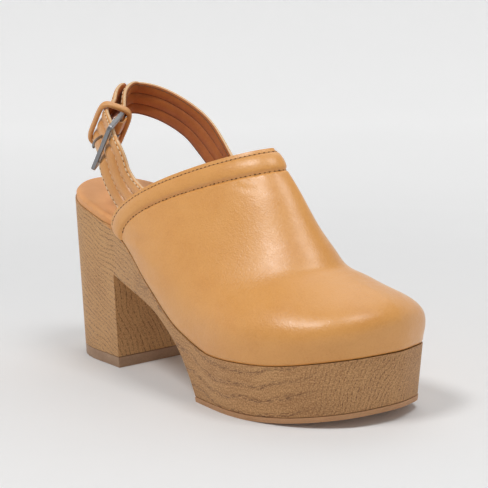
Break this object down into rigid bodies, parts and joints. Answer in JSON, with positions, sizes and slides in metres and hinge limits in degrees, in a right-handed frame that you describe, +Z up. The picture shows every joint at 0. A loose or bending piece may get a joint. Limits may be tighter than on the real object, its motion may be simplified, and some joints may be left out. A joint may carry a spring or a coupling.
{
  "type": "platform clog",
  "caption": "Closed-toe platform clog with a block heel, an open back and a quilted heel strap with a buckle.",
  "frame": {"origin": "middle of the heel's ground face, on the floor and on the shoe's centre line", "axes": "+X towards the toe, +Y towards the inner side of the foot, +Z up"},
  "size_m": [0.245, 0.0912, 0.1578],
  "materials": {
    "wood": "satin clear coat over an open grain with short dark pores",
    "lift_rubber": "dull grey-brown moulded rubber",
    "outsole_rubber": "tan moulded rubber",
    "footbed_leather": "matte orange-tan lining leather",
    "upper_leather": "smooth caramel leather with a fine grain and a satin sheen",
    "strap_leather": "smooth caramel leather, quilted along its length",
    "buckle_metal": "dull gunmetal grey"
  },
  "bodies": {
    "root": {"platform": "wood", "heel_lift": "lift_rubber", "outsole": "outsole_rubber", "insole": "footbed_leather", "upper": "upper_leather", "strap_inner": "strap_leather", "strap_outer": "strap_leather", "keeper_loop": "strap_leather", "buckle_frame": "buckle_metal", "buckle_prong": "buckle_metal"}
  },
  "joints": []
}
